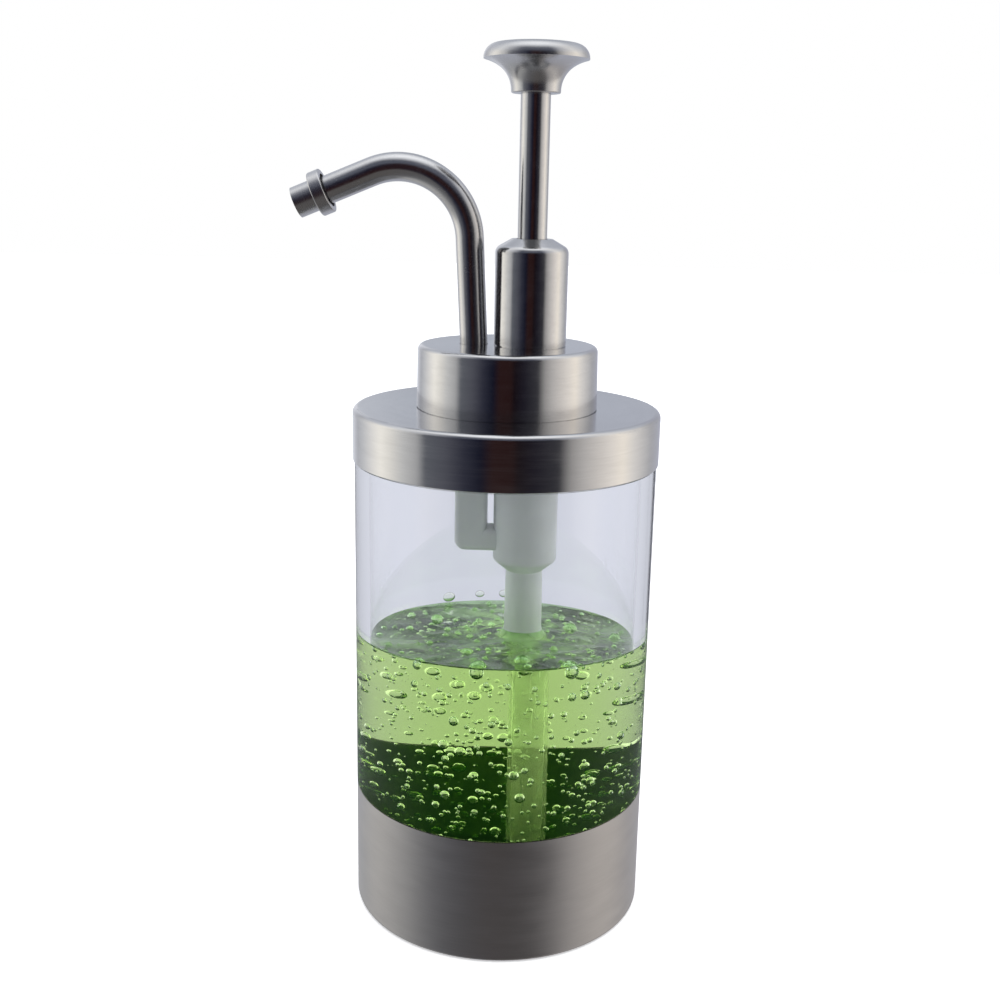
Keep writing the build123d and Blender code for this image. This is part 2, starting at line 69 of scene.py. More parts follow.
bore_radius = gel_box[1].x
gel_level = gel_box[1].z
gel_floor = gel_box[0].z
pump_x = (dip_box[0].x + dip_box[1].x) / 2
dip_radius = (dip_box[1].x - dip_box[0].x) / 2
sleeve_wall = 1.2 * MM  # of the foot valve's sleeve, whose end dips into the gel
sleeve_radius = dip_radius + sleeve_wall
sleeve_bottom = valve_box[0].z
spout_droop = radians(22.5)  # of the nozzle's axis below the horizontal
surface_drop = 5.3 * MM  # of the gel's middle below the CAD level, which is its highest edge
surface_tilt = 3.2 * MM  # rise from the middle towards the front wall, and fall towards the back


# ---------------------------------------------------------------- node helpers


def new_material(name):
    """A material with one Principled shader: (material, node tree, shader)."""
    material = bpy.data.materials.new(name)
    material.use_nodes = True
    tree = material.node_tree
    shader = tree.nodes["Principled BSDF"]
    return material, tree, shader


def set_inputs(node, values):
    """Sets a node's sockets from a dictionary of names and values."""
    for name, value in values.items():
        node.inputs[name].default_value = value


def add_node(tree, kind, links=None, values=None, **settings):
    """Adds a node, sets it up, and links outputs of other nodes to its inputs."""
    node = tree.nodes.new(kind)
    for name, value in settings.items():
        setattr(node, name, value)
    for name, value in (values or {}).items():
        node.inputs[name].default_value = value
    for name, output in (links or {}).items():
        tree.links.new(output, node.inputs[name])
    return node


def math_node(tree, operation, *inputs):
    """A Math node whose inputs are outputs of other nodes or plain numbers; gives its output."""
    node = tree.nodes.new("ShaderNodeMath")
    node.operation = operation
    for socket, value in zip(node.inputs, inputs):
        if isinstance(value, bpy.types.NodeSocket):
            tree.links.new(value, socket)
        else:
            socket.default_value = value
    return node.outputs[0]


def vector_node(tree, operation, *inputs):
    """A Vector Math node, given and used as math_node is; gives the node."""
    node = tree.nodes.new("ShaderNodeVectorMath")
    node.operation = operation
    for socket, value in zip(node.inputs, inputs):
        if isinstance(value, bpy.types.NodeSocket):
            tree.links.new(value, socket)
        else:
            socket.default_value = value
    return node


def scaled(tree, vector, factor):
    """A vector or colour output times a number, which is an output or a plain number."""
    node = add_node(tree, "ShaderNodeVectorMath", links={0: vector}, operation="SCALE")
    if isinstance(factor, bpy.types.NodeSocket):
        tree.links.new(factor, node.inputs["Scale"])
    else:
        node.inputs["Scale"].default_value = factor
    return node.outputs[0]


def noise_node(tree, vector, scale, detail=3.0, roughness=0.5, distortion=0.0):
    """A Noise texture's value at a vector output."""
    node = add_node(
        tree,
        "ShaderNodeTexNoise",
        links={"Vector": vector},
        values={
            "Scale": scale, "Detail": detail, "Roughness": roughness, "Distortion": distortion
        },
    )
    return node.outputs["Fac"]


def remap(tree, value, low, high, to_low, to_high):
    """A value from the range low-high mapped to the range to_low-to_high, and kept in it."""
    node = add_node(
        tree,
        "ShaderNodeMapRange",
        links={"Value": value},
        values={"From Min": low, "From Max": high, "To Min": to_low, "To Max": to_high},
    )
    return node.outputs["Result"]


def mix_colours(tree, factor, first, second):
    """Mixes two colours, each an output or a plain colour, by a factor output."""
    node = tree.nodes.new("ShaderNodeMix")
    node.data_type = "RGBA"
    tree.links.new(factor, node.inputs["Factor"])
    for name, value in (("A", first), ("B", second)):
        socket = next(s for s in node.inputs if s.name == name and s.type == "RGBA")
        if isinstance(value, bpy.types.NodeSocket):
            tree.links.new(value, socket)
        else:
            socket.default_value = (*value, 1)
    return next(s for s in node.outputs if s.type == "RGBA")


def bump(tree, shader, height, distance, strength=1.0):
    """Bumps a shader's surface by a height output, in metres times distance."""
    node = add_node(
        tree,
        "ShaderNodeBump",
        links={"Height": height},
        values={"Distance": distance, "Strength": strength},
    )
    tree.links.new(node.outputs["Normal"], shader.inputs["Normal"])


def object_place(tree):
    """The shading point in the object's own coordinates, which are the frame's."""
    return add_node(tree, "ShaderNodeTexCoord").outputs["Object"]


def height_of(tree, vector):
    """The Z part of a vector output."""
    return add_node(tree, "ShaderNodeSeparateXYZ", links={0: vector}).outputs["Z"]


def flat_from(tree, place, x):
    """The level vector to a point from the vertical axis at x."""
    offset = vector_node(tree, "SUBTRACT", place, (x, 0, 0)).outputs[0]
    return vector_node(tree, "MULTIPLY", offset, (1, 1, 0)).outputs[0]


def radius_from(tree, place, x):
    """The distance of a point from the vertical axis at x."""
    return vector_node(tree, "LENGTH", flat_from(tree, place, x)).outputs["Value"]


def mottle(tree, shader, pattern, colour, shade):
    """Colours a shader by a pattern, between a colour and the same colour times shade."""
    dark = tuple(shade * c for c in colour)
    mixed = mix_colours(tree, remap(tree, pattern, 0.35, 0.65, 0.0, 1.0), dark, colour)
    tree.links.new(mixed, shader.inputs["Base Color"])


def roughen(tree, shader, roughness, less, more, grain, blotches=None, smudge=0.0):
    """Varies a shader's roughness by a grain, and raises it up to smudge where it has blotches."""
    rough = remap(tree, grain, 0.3, 0.7, roughness - less, roughness + more)
    if blotches is not None:
        rough = math_node(tree, "ADD", rough, remap(tree, blotches, 0.35, 0.7, 0.0, smudge))
    tree.links.new(rough, shader.inputs["Roughness"])


# ---------------------------------------------------------------- materials

STEEL_COLOUR = (0.60, 0.60, 0.61)
PLASTIC_IOR = 1.5
ACRYLIC_IOR = 1.49
GEL_IOR = 1.34
TUBE_IOR = 1.03
FROTH_COLOUR = (0.48, 0.78, 0.34)
GEL_DEPTH_COLOUR = (0.65, 0.87, 0.10, 1)
GEL_DEPTH_TINT = 20.0
GEL_GLOW_COLOUR = (0.12, 1.0, 0.03, 1)
GEL_GLOW = 0.007
CLEAR = (1.0, 1.0, 1.0)
EDGE = 0.1 * MM  # over which a material changes at the border between air, gel and plastic


def turned_steel(name, axis_x=0.0, colour=STEEL_COLOUR, roughness=0.22, anisotropy=0.6,
                 line_height=0.35 * MM, smudge=0.08, scratch=0.4):
    """Stainless steel with fine lines that run round a vertical axis at axis_x."""
    material, tree, shader = new_material(name)
    place = vector_node(tree, "SUBTRACT", object_place(tree), (axis_x, 0, 0)).outputs[0]
    flat = flat_from(tree, place, 0)
    radius = vector_node(tree, "LENGTH", flat).outputs["Value"]
    # The noise hardly changes round the axis, and quickly up the sides and across the tops
    along = scaled(tree, vector_node(tree, "NORMALIZE", flat).outputs[0], 3.5)
    across = math_node(tree, "ADD", height_of(tree, place), radius)
    across = math_node(tree, "MULTIPLY", across, 1 / line_height)
    lift = add_node(tree, "ShaderNodeCombineXYZ", links={"Z": across}).outputs[0]
    line_place = vector_node(tree, "ADD", along, lift).outputs[0]
    lines = noise_node(tree, line_place, 1.0, detail=4.0, roughness=0.65)
    wide_place = vector_node(tree, "ADD", along, scaled(tree, lift, 0.12)).outputs[0]
    wide_lines = noise_node(tree, wide_place, 1.0, detail=2.0)
    uneven = math_node(tree, "MULTIPLY", math_node(tree, "ADD", lines, wide_lines), 0.5)
    blotches = noise_node(tree, place, 55.0, detail=3.0, distortion=0.4)
    roughen(tree, shader, roughness, 0.05, 0.06, uneven, blotches, smudge)
    mottle(tree, shader, uneven, colour, 0.9)
    bump(tree, shader, lines, 0.004 * MM, scratch)
    set_inputs(
        shader, {"Metallic": 1.0, "Anisotropic": anisotropy, "Anisotropic Rotation": 0.25}
    )
    tangent = add_node(tree, "ShaderNodeTangent", direction_type="RADIAL", axis="Z")
    tree.links.new(tangent.outputs[0], shader.inputs["Tangent"])
    return material


def drawn_steel(name, roughness=0.2, lines_along=None, grain=0.4 * MM, line_height=0.22 * MM):
    """Stainless steel of a bent or turned tube, with faint lines round the axis lines_along."""
    material, tree, shader = new_material(name)
    place = object_place(tree)
    grains = noise_node(tree, place, 1 / grain, detail=3.0, roughness=0.6)
    blotches = noise_node(tree, place, 130.0, detail=2.0)
    if lines_along:
        level = vector_node(tree, "DOT_PRODUCT", place, lines_along).outputs["Value"]
        level = math_node(tree, "MULTIPLY", level, 1 / line_height)
        line_place = add_node(tree, "ShaderNodeCombineXYZ", links={"X": level}).outputs[0]
        grains = noise_node(tree, line_place, 1.0, detail=2.0, roughness=0.6)
    roughen(tree, shader, roughness, 0.04, 0.05, grains, blotches, smudge=0.06)
    mottle(tree, shader, grains, STEEL_COLOUR, 0.9)
    bump(tree, shader, grains, 0.006 * MM if lines_along else 0.003 * MM)
    set_inputs(shader, {"Metallic": 1.0})
    return material


def moulded_plastic(name, colour, roughness=0.34, glow=0.25, depth=2.0 * MM):
    """Slightly waxy white plastic with a faint grain and soft unevenness."""
    material, tree, shader = new_material(name)
    place = object_place(tree)
    grain = noise_node(tree, place, 2500.0, detail=2.0)
    waves = noise_node(tree, place, 90.0, detail=2.0)
    roughen(tree, shader, roughness, 0.05, 0.07, grain)
    mottle(tree, shader, waves, colour, 0.93)
    bump(tree, shader, waves, 0.05 * MM, 0.6)
    set_inputs(
        shader,
        {
            "Subsurface Weight": glow,
            "Subsurface Radius": (1.0, 1.0, 0.9),
            "Subsurface Scale": depth,
            "IOR": PLASTIC_IOR,
        },
    )
    return material


def milky_plastic(name, colour, clearness=0.8, roughness=0.2):
    """Milky plastic of the dip tube, whose IOR is low because it stands in gel, not in air."""
    material, tree, shader = new_material(name)
    place = object_place(tree)
    drawn_out = vector_node(tree, "MULTIPLY", place, (1, 1, 0.1)).outputs[0]
    streaks = noise_node(tree, drawn_out, 700.0)
    clouds = noise_node(tree, place, 160.0, detail=2.0)
    roughen(tree, shader, roughness, 0.06, 0.08, streaks)
    mottle(tree, shader, clouds, colour, 0.9)
    bump(tree, shader, clouds, 0.02 * MM, 0.4)
    set_inputs(shader, {"Transmission Weight": clearness, "IOR": TUBE_IOR})
    return material


def rubber(name, colour):
    """Matt rubber with a fine pebbled skin."""
    material, tree, shader = new_material(name)
    place = object_place(tree)
    grain = noise_node(tree, place, 1600.0, detail=3.0)
    tree.links.new(remap(tree, grain, 0.3, 0.7, 0.5, 0.72), shader.inputs["Roughness"])
    shade = tuple(0.7 * c for c in colour)
    tree.links.new(mix_colours(tree, grain, shade, colour), shader.inputs["Base Color"])
    bump(tree, shader, grain, 0.05 * MM, 0.7)
    return material


def clear_acrylic(name):
    """The jar's clear plastic, which doesn't mirror where its inside is wet with gel."""
    material, tree, shader = new_material(name)
    place = object_place(tree)
    radius = radius_from(tree, place, 0)
    outside = remap(tree, radius, bore_radius + EDGE, bore_radius + 2 * EDGE, 0.0, 1.0)
    dry = remap(tree, height_of(tree, place), gel_level, gel_level + 5 * EDGE, 0.0, 1.0)
    tree.links.new(math_node(tree, "MAXIMUM", outside, dry), shader.inputs["Specular Tint"])
    waves = noise_node(tree, place, 25.0, detail=1.0)
    bump(tree, shader, waves, 0.06 * MM, 0.5)
    set_inputs(
        shader,
        {
            "Base Color": (0.985, 0.985, 1.0, 1),
            "Roughness": 0.0,
            "IOR": ACRYLIC_IOR,
            "Transmission Weight": 1.0,
        },
    )
    return material


def gel_in_air(tree, place, radius):
    """1 on the gel's skin where it meets air, and 0 where it wets the jar or the sleeve."""
    inside = remap(tree, radius, bore_radius - EDGE, bore_radius, 1.0, 0.0)
    height = height_of(tree, place)
    above = remap(tree, height, gel_floor + EDGE, gel_floor + 2 * EDGE, 0.0, 1.0)
    from_pump = radius_from(tree, place, pump_x)
    off_sleeve = remap(tree, from_pump, sleeve_radius, sleeve_radius + EDGE, 0.0, 1.0)
    below_sleeve = remap(tree, height, sleeve_bottom - EDGE, sleeve_bottom, 1.0, 0.0)
    clear = math_node(tree, "MAXIMUM", off_sleeve, below_sleeve)
    return math_node(tree, "MULTIPLY", math_node(tree, "MULTIPLY", inside, above), clear)


def gel_top(tree, place, radius):
    """1 on the gel's upper surface, which faces up near its rest level, and 0 elsewhere."""
    lean = vector_node(tree, "DOT_PRODUCT", place, (0, surface_tilt / bore_radius, 1))
    over_rest = math_node(tree, "SUBTRACT", lean.outputs["Value"], gel_level - surface_drop)
    high = remap(tree, over_rest, -0.8 * MM, -0.6 * MM, 0.0, 1.0)
    low = remap(tree, over_rest, 2.0 * MM, 2.3 * MM, 1.0, 0.0)
    skin = add_node(tree, "ShaderNodeNewGeometry")
    outward = remap(tree, skin.outputs["Backfacing"], 0.0, 1.0, 1.0, -1.0)
    facing = math_node(tree, "MULTIPLY", height_of(tree, skin.outputs["Normal"]), outward)
    up = remap(tree, facing, 0.0, 0.1, 0.0, 1.0)
    inside = remap(tree, radius, bore_radius - EDGE, bore_radius, 1.0, 0.0)
    level = math_node(tree, "MULTIPLY", high, low)
    return math_node(tree, "MULTIPLY", math_node(tree, "MULTIPLY", level, up), inside)


def green_gel(name):
    """Clear green gel, coloured through its depth, which mirrors only where it meets air.

    Froth clouds its upper surface, and a faint glow stands in for light scattered inside.
    """
    material, tree, shader = new_material(name)
    place = object_place(tree)
    radius = radius_from(tree, place, 0)
    tree.links.new(gel_in_air(tree, place, radius), shader.inputs["Specular Tint"])
    on_top = gel_top(tree, place, radius)
    froth = noise_node(tree, place, 65.0, detail=2.5, roughness=0.5, distortion=0.6)
    cloud = math_node(tree, "MULTIPLY", remap(tree, froth, 0.40, 0.64, 0.04, 0.58), on_top)
    tree.links.new(math_node(tree, "SUBTRACT", 1.0, cloud), shader.inputs["Transmission Weight"])
    tree.links.new(mix_colours(tree, on_top, CLEAR, FROTH_COLOUR), shader.inputs["Base Color"])
    set_inputs(
        shader,
        {
            "Roughness": 0.0,
            "IOR": GEL_IOR,
            "Emission Color": GEL_GLOW_COLOUR,
            "Emission Strength": GEL_GLOW,
        },
    )
    depth_tint = add_node(
        tree,
        "ShaderNodeVolumeAbsorption",
        values={"Color": GEL_DEPTH_COLOUR, "Density": GEL_DEPTH_TINT},
    )
    output = next(n for n in tree.nodes if n.type == "OUTPUT_MATERIAL")
    tree.links.new(depth_tint.outputs[0], output.inputs["Volume"])
    return material


nozzle_axis = (-cos(spout_droop), 0.0, -sin(spout_droop))
WHITE_PLASTIC = (0.80, 0.84, 0.84)
MATERIALS = {
    "jar_clear": clear_acrylic("jar_clear"),
    "gel": green_gel("gel"),
    "base_steel": turned_steel(
        "base_steel", colour=(0.54, 0.53, 0.53), roughness=0.34, anisotropy=0.4, smudge=0.12
    ),
    "lid_steel": turned_steel("lid_steel", roughness=0.13, anisotropy=0.65, smudge=0.05),
    "collar_steel": turned_steel("collar_steel", roughness=0.13, anisotropy=0.65, smudge=0.05),
    "bell_steel": turned_steel("bell_steel", pump_x, roughness=0.15, smudge=0.06),
    "rod_steel": turned_steel("rod_steel", pump_x, roughness=0.14, anisotropy=0.4),
    "knob_steel": turned_steel("knob_steel", pump_x, roughness=0.23, anisotropy=0.5, scratch=0.8),
    "spout_steel": drawn_steel("spout_steel", roughness=0.19),
    "nozzle_steel": drawn_steel("nozzle_steel", lines_along=nozzle_axis, roughness=0.24),
    "ball_steel": drawn_steel("ball_steel", roughness=0.12),
    "spring_steel": drawn_steel("spring_steel", roughness=0.18),
    "pump_plastic": moulded_plastic("pump_plastic", WHITE_PLASTIC),
    "plug_plastic": moulded_plastic("plug_plastic", (0.82, 0.82, 0.82)),
    "tube_plastic": milky_plastic("tube_plastic", (0.95, 0.99, 0.92)),
    "bush_plastic": moulded_plastic("bush_plastic", (0.84, 0.84, 0.80)),
    "seal_rubber": rubber("seal_rubber", (0.05, 0.05, 0.05)),
    "foot_rubber": rubber("foot_rubber", (0.035, 0.035, 0.037)),
}


def dress_cad_nodes():
    """Gives every CAD node the material of its slot in the record."""
    for part in frame["record"]["subparts"]:
        node = nodes[part["node"]]
        node.data.materials.clear()
        node.data.materials.append(MATERIALS[part["material_slot"]])
        for face in node.data.polygons:
            face.material_index = 0


# ---------------------------------------------------------------- meshes


def add_piece(name, vertices, faces, body, slot, sharp_angle=40.0):
    """Makes a mesh object from points and faces, in the material of its slot, on a body."""
    mesh = bpy.data.meshes.new(name)
    mesh.from_pydata([tuple(v) for v in vertices], [], [tuple(f) for f in faces])
    mesh.validate()
    mesh.materials.append(MATERIALS[slot])
    mesh.shade_smooth()
    mesh.set_sharp_from_angle(angle=radians(sharp_angle))
    piece = bpy.data.objects.new(name, mesh)
    bpy.context.scene.collection.objects.link(piece)
    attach(piece, body)
    return piece


def ball_mesh(subdivisions):
    """Points and faces of a unit ball."""
    builder = bmesh.new()
    bmesh.ops.create_icosphere(builder, subdivisions=subdivisions, radius=1.0)
    points = np.array([v.co for v in builder.verts])
    faces = [[v.index for v in f.verts] for f in builder.faces]
    builder.free()
    return points, faces


# ---------------------------------------------------------------- gel

GEL_TURNS = 288  # points round the gel
GEL_RINGS = 120  # rings across its surface
wall_overlap = 0.05 * MM
meniscus_rise = 1.2 * MM
back_meniscus_loss = 0.7 * MM
meniscus_reach = 1.2 * MM
sleeve_climb = 2.8 * MM
sleeve_reach = 0.9 * MM
swirl_reach = 3 * MM  # from the wall and the sleeve, over which the lumps die out
SURFACE_BUBBLES = 110
INNER_BUBBLES = 1500
DOME_RISE = 0.8  # of a dome over the surface, as a share of its radius
HOLLOW_DEPTH = 0.62  # of the hollow's middle below the surface, and its radius, as such shares
HOLLOW_SIZE = 0.93
SMALL_SHARE = 0.35  # of the inner bubbles
WALL_SHARE = 0.45  # of them, which hang near the jar's wall
gel_rng = Random(11)


def swirl(x, y):
    """Height of the stirred, lumpy gel over its level, without its edges."""
    p = Vector((x / MM, y / MM, 0.0))
    turn = noise.noise(p / 22.0 + Vector((3.1, 7.7, 1.3))) * 9.0
    q = p + Vector((turn, -turn * 0.6, 0))
    slow = noise.noise(q / 15.0)
    middle = noise.noise(q / 6.5 + Vector((9.0, 2.0, 4.0)))
    ridges = 1.0 - abs(noise.noise(q / 9.0 + Vector((1.7, 5.2, 8.0)))) * 2.5
    return (0.55 * slow + 0.28 * middle + 0.22 * max(ridges, 0.0) ** 2) * MM


def rest_level(y):
    """The gel's surface without lumps or edges: a plane that rises towards the front."""
    return gel_level - surface_drop - surface_tilt * y / bore_radius


def random_radius(least, mean_extra, most):
    """A bubble's radius in metres from three lengths in millimetres; small ones are commonest."""
    return min(most, least + gel_rng.expovariate(1 / mean_extra)) * MM


def distance_from_pump(x, y):
    """The level distance of a point from the pump's axis."""
    return sqrt((x - pump_x) ** 2 + y * y)


def surface_bubbles():
    """Bubbles that lift the gel's surface into domes: (x, y, radius), apart from one another."""
    found = []
    while len(found) < SURFACE_BUBBLES:
        radius = random_radius(0.42, 0.42, 2.1)
        reach = bore_radius - radius - 0.6 * MM
        distance = reach * sqrt(gel_rng.random())
        angle = gel_rng.uniform(0, 2 * pi)
        x, y = distance * cos(angle), distance * sin(angle)
        if distance_from_pump(x, y) < sleeve_radius + radius + 1.0 * MM:
            continue
        if any((x - u) ** 2 + (y - v) ** 2 < (radius + r) ** 2 * 1.05 for u, v, r in found):
            continue
        found.append((x, y, radius))
    return found


domes = surface_bubbles()
dome_table = np.array(domes)


def gel_height(x, y):
    """The gel's upper surface at a point."""
    wall_gap = max(0.0, bore_radius - sqrt(x * x + y * y))
    sleeve_gap = max(0.0, distance_from_pump(x, y) - sleeve_radius)
    edge = 1 - exp(-min(wall_gap, sleeve_gap) / swirl_reach)
    rise = meniscus_rise - back_meniscus_loss * max(y, 0.0) / bore_radius
    height = rest_level(y) + swirl(x, y) * edge
    height += rise * exp(-wall_gap / meniscus_reach)
    height += sleeve_climb * exp(-sleeve_gap / sleeve_reach)
    near = (dome_table[:, 0] - x) ** 2 + (dome_table[:, 1] - y) ** 2
    inside = near < dome_table[:, 2] ** 2
    if inside.any():
        index = int(np.argmax(inside))
        radius = dome_table[index, 2]
        share = 1 - near[index] / radius**2
        height += DOME_RISE * radius * share * (2 - share)
    return height


def gel_bubbles():
    """Hollow bubbles under the domes and inside the gel, apart: (x, y, z, radius)."""
    found = []
    for x, y, radius in domes:
        middle = rest_level(y) + swirl(x, y) - HOLLOW_DEPTH * radius
        found.append((x, y, middle, HOLLOW_SIZE * radius))
    while len(found) < len(domes) + INNER_BUBBLES:
        small = gel_rng.random() < SMALL_SHARE
        radius = random_radius(0.1, 0.1, 1.35) if small else random_radius(0.35, 0.3, 1.35)
        reach = bore_radius - radius - 0.25 * MM
        distance = reach * sqrt(gel_rng.random())
        near_wall = gel_rng.random() < WALL_SHARE
        if near_wall:
            distance = reach - gel_rng.expovariate(1 / (2.5 * MM))
        if distance < 0:
            continue
        angle = gel_rng.uniform(0, 2 * pi)
        x, y = distance * cos(angle), distance * sin(angle)
        top = rest_level(y) - 2.2 * MM - radius
        z = gel_rng.uniform(gel_floor + radius + 1 * MM, top)
        if distance_from_pump(x, y) < dip_radius + radius + 0.3 * MM:
            continue
        if any(
            (x - a) ** 2 + (y - b) ** 2 + (z - c) ** 2 < (radius + r) ** 2 * 1.1
            for a, b, c, r in found
        ):
            continue
        found.append((x, y, z, radius))
    return found


# Drops on the wall behind: heading from the front in degrees, level, width and height of each
WALL_DROPS = (
    (210, gel_level - 5.7 * MM, 4.4 * MM, 3.1 * MM),
    (194, gel_level - 5.6 * MM, 3.2 * MM, 2.2 * MM),
    (182, gel_level - 5.6 * MM, 3.4 * MM, 2.5 * MM),
)
DROP_DEPTH = 0.9 * MM


def gel_block():
    """Points and faces of the gel with a bumpy surface and a hole for the sleeve.

    The dip tube below the sleeve stands in the gel itself.
    """
    outer = bore_radius + wall_overlap
    inner = sleeve_radius - wall_overlap
    floor = gel_floor - wall_overlap
    turns = np.linspace(0, 2 * pi, GEL_TURNS, endpoint=False)
    rim = np.stack([outer * np.cos(turns), outer * np.sin(turns)], 1)
    hole = np.stack([pump_x + inner * np.cos(turns), inner * np.sin(turns)], 1)
    points, faces = [], []

    def add_ring(xy, z_of):
        start = len(points)
        points.extend((x, y, z_of(x, y)) for x, y in xy)
        return start

    def bridge(a, b):
        for i in range(GEL_TURNS):
            j = (i + 1) % GEL_TURNS
            faces.append((a + i, a + j, b + j, b + i))

    # Across the surface from the sleeve out to the wall, closer together at both edges
    steps = [0.5 - 0.5 * cos(pi * k / GEL_RINGS) for k in range(GEL_RINGS + 1)]
    rings = [add_ring(hole * (1 - t) + rim * t, gel_height) for t in steps]
    for a, b in zip(rings, rings[1:]):
        bridge(b, a)
    # Down the wall, across the floor, and down the hole to its bottom
    low = add_ring(rim, lambda x, y: floor)
    bridge(low, rings[-1])
    centre = len(points)
    points.append((0.0, 0.0, floor))
    faces.extend((low + (i + 1) % GEL_TURNS, low + i, centre) for i in range(GEL_TURNS))
    hole_bottom = sleeve_bottom + wall_overlap
    hole_low = add_ring(hole, lambda x, y: hole_bottom)
    bridge(rings[0], hole_low)
    hole_centre = len(points)
    points.append((pump_x, 0.0, hole_bottom))
    faces.extend(
        (hole_low + i, hole_low + (i + 1) % GEL_TURNS, hole_centre) for i in range(GEL_TURNS)
    )
    return points, faces


def make_gel():
    """The gel with the drops on the wall behind it, and with its bubbles as hollows."""
    points, faces = gel_block()
    fine, coarse, coarsest = ball_mesh(4), ball_mesh(3), ball_mesh(2)
    for heading, level, width, drop_height in WALL_DROPS:
        angle = radians(heading)
        outward = Vector((sin(angle), -cos(angle), 0))
        sideways = Vector((cos(angle), sin(angle), 0))
        centre = outward * (bore_radius - 0.1 * MM) + Vector((0, 0, level))
        start = len(points)
        for p in fine[0]:
            across = sideways * (p[0] * width / 2)
            lift = Vector((0, 0, p[2] * drop_height / 2))
            points.append(centre + across + outward * (p[1] * DROP_DEPTH) + lift)
        faces.extend([start + i for i in face] for face in fine[1])
    # The hollows' faces look inwards
    for x, y, z, radius in gel_bubbles():
        ball, ball_faces = fine if radius > 1.0 * MM else coarse if radius > 0.3 * MM else coarsest
        start = len(points)
        points.extend(ball * radius + np.array((x, y, z)))
        faces.extend([start + i for i in reversed(face)] for face in ball_faces)
    gel = add_piece("gel_body", points, faces, "jar", "gel")
    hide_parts("gel_fill")
    return gel


# ---------------------------------------------------------------- return spring


def make_spring():
    """The coil under the piston, above the cage below."""
    wire = 0.5 * MM
    coil = (spring_box[1].x - spring_box[0].x) / 2 - wire
    turns, per_turn, sides = 6.5, 40, 10
    low, high = spring_box[0].z + wire, spring_box[1].z - wire
    points, faces = [], []
    count = int(turns * per_turn)
    for k in range(count + 1):
        angle = 2 * pi * k / per_turn
        outward = Vector((cos(angle), sin(angle), 0))
        centre = outward * coil + Vector((pump_x, 0, low + (high - low) * k / count))
        for s in range(sides):
            turn = 2 * pi * s / sides
            points.append(centre + (outward * cos(turn) + Vector((0, 0, 1)) * sin(turn)) * wire)
        if k:
            a, b = (k - 1) * sides, k * sides
            for s in range(sides):
                t = (s + 1) % sides
                faces.append((a + s, b + s, b + t, a + t))
    faces.append(tuple(range(sides)))
    faces.append(tuple(reversed(range(count * sides, (count + 1) * sides))))
    spring = add_piece("spring_coil", points, faces, "head", "spring_steel")
    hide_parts("return_spring")
    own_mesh(spring)
    return spring


# ---------------------------------------------------------------- studio

FLOOR_GLOW = 0.55  # keeps the floor almost white beside the soft shadow


def make_floor():
    """A plain pale floor."""
    builder = bmesh.new()
    bmesh.ops.create_grid(builder, x_segments=8, y_segments=8, size=3.0)
    mesh = bpy.data.meshes.new("floor")
    builder.to_mesh(mesh)
    builder.free()
    floor = bpy.data.objects.new("floor", mesh)
    bpy.context.scene.collection.objects.link(floor)
    material, _, shader = new_material("floor_white")
    set_inputs(shader, {"Base Color": (0.95, 0.95, 0.96, 1), "Roughness": 0.9})
    set_inputs(shader, {"Emission Color": (1, 1, 1, 1), "Emission Strength": FLOOR_GLOW})
    mesh.materials.append(material)
    floor.visible_glossy = False
    floor.visible_transmission = False


# Light round the object at eye level, as heading from the front in degrees and colour:
# a dark room in front, soft boxes at both sides, and a grey-blue wall behind. Most of these
# stops were not designed. A scratch program worked them out by heading from the photo's
# pixels on the lid and the collar, and they were then averaged, rounded and adjusted by hand
ROOM_LIGHT = (
    (-180, (0.54, 0.57, 0.65)),
    (-173, (0.54, 0.57, 0.64)),
    (-165, (0.88, 0.90, 0.96)),
    (-154, (0.76, 0.78, 0.85)),
    (-140, (0.60, 0.61, 0.65)),
    (-128, (0.80, 0.81, 0.83)),
    (-116, (1.08, 1.06, 1.03)),
    (-102, (1.42, 1.37, 1.25)),
    (-91, (1.20, 1.16, 1.07)),
    (-78, (0.85, 0.85, 0.83)),
    (-65, (0.60, 0.60, 0.60)),
    (-58, (0.17, 0.18, 0.205)),
    (-41, (0.115, 0.118, 0.145)),
    (-28, (0.042, 0.044, 0.068)),
    (-15, (0.008, 0.010, 0.026)),
    (-7, (0.034, 0.014, 0.014)),
    (8, (0.030, 0.012, 0.012)),
    (11, (0.010, 0.005, 0.008)),
    (24, (0.018, 0.016, 0.026)),
    (42, (0.055, 0.055, 0.065)),
    (51, (0.48, 0.465, 0.45)),
    (61, (0.73, 0.70, 0.67)),
    (85, (1.18, 1.10, 1.01)),
    (98, (1.40, 1.29, 1.13)),
    (110, (1.11, 1.06, 1.00)),
    (123, (0.84, 0.82, 0.80)),
    (137, (0.58, 0.58, 0.60)),
    (160, (0.50, 0.51, 0.59)),
    (180, (0.54, 0.57, 0.65)),
)
# The next three rings were set and adjusted against brightness measured in the photo.
# Light from the table in front of and beside the object
TABLE_LIGHT = (
    (-180, (0.56, 0.58, 0.66)),
    (-130, (0.50, 0.51, 0.52)),
    (-112, (0.60, 0.59, 0.58)),
    (-80, (0.48, 0.48, 0.47)),
    (-50, (0.21, 0.21, 0.22)),
    (-25, (0.145, 0.142, 0.145)),
    (0, (0.140, 0.130, 0.125)),
    (30, (0.120, 0.114, 0.112)),
    (48, (0.19, 0.18, 0.18)),
    (62, (0.44, 0.42, 0.41)),
    (92, (0.68, 0.64, 0.60)),
    (125, (0.47, 0.45, 0.45)),
    (180, (0.56, 0.58, 0.66)),
)
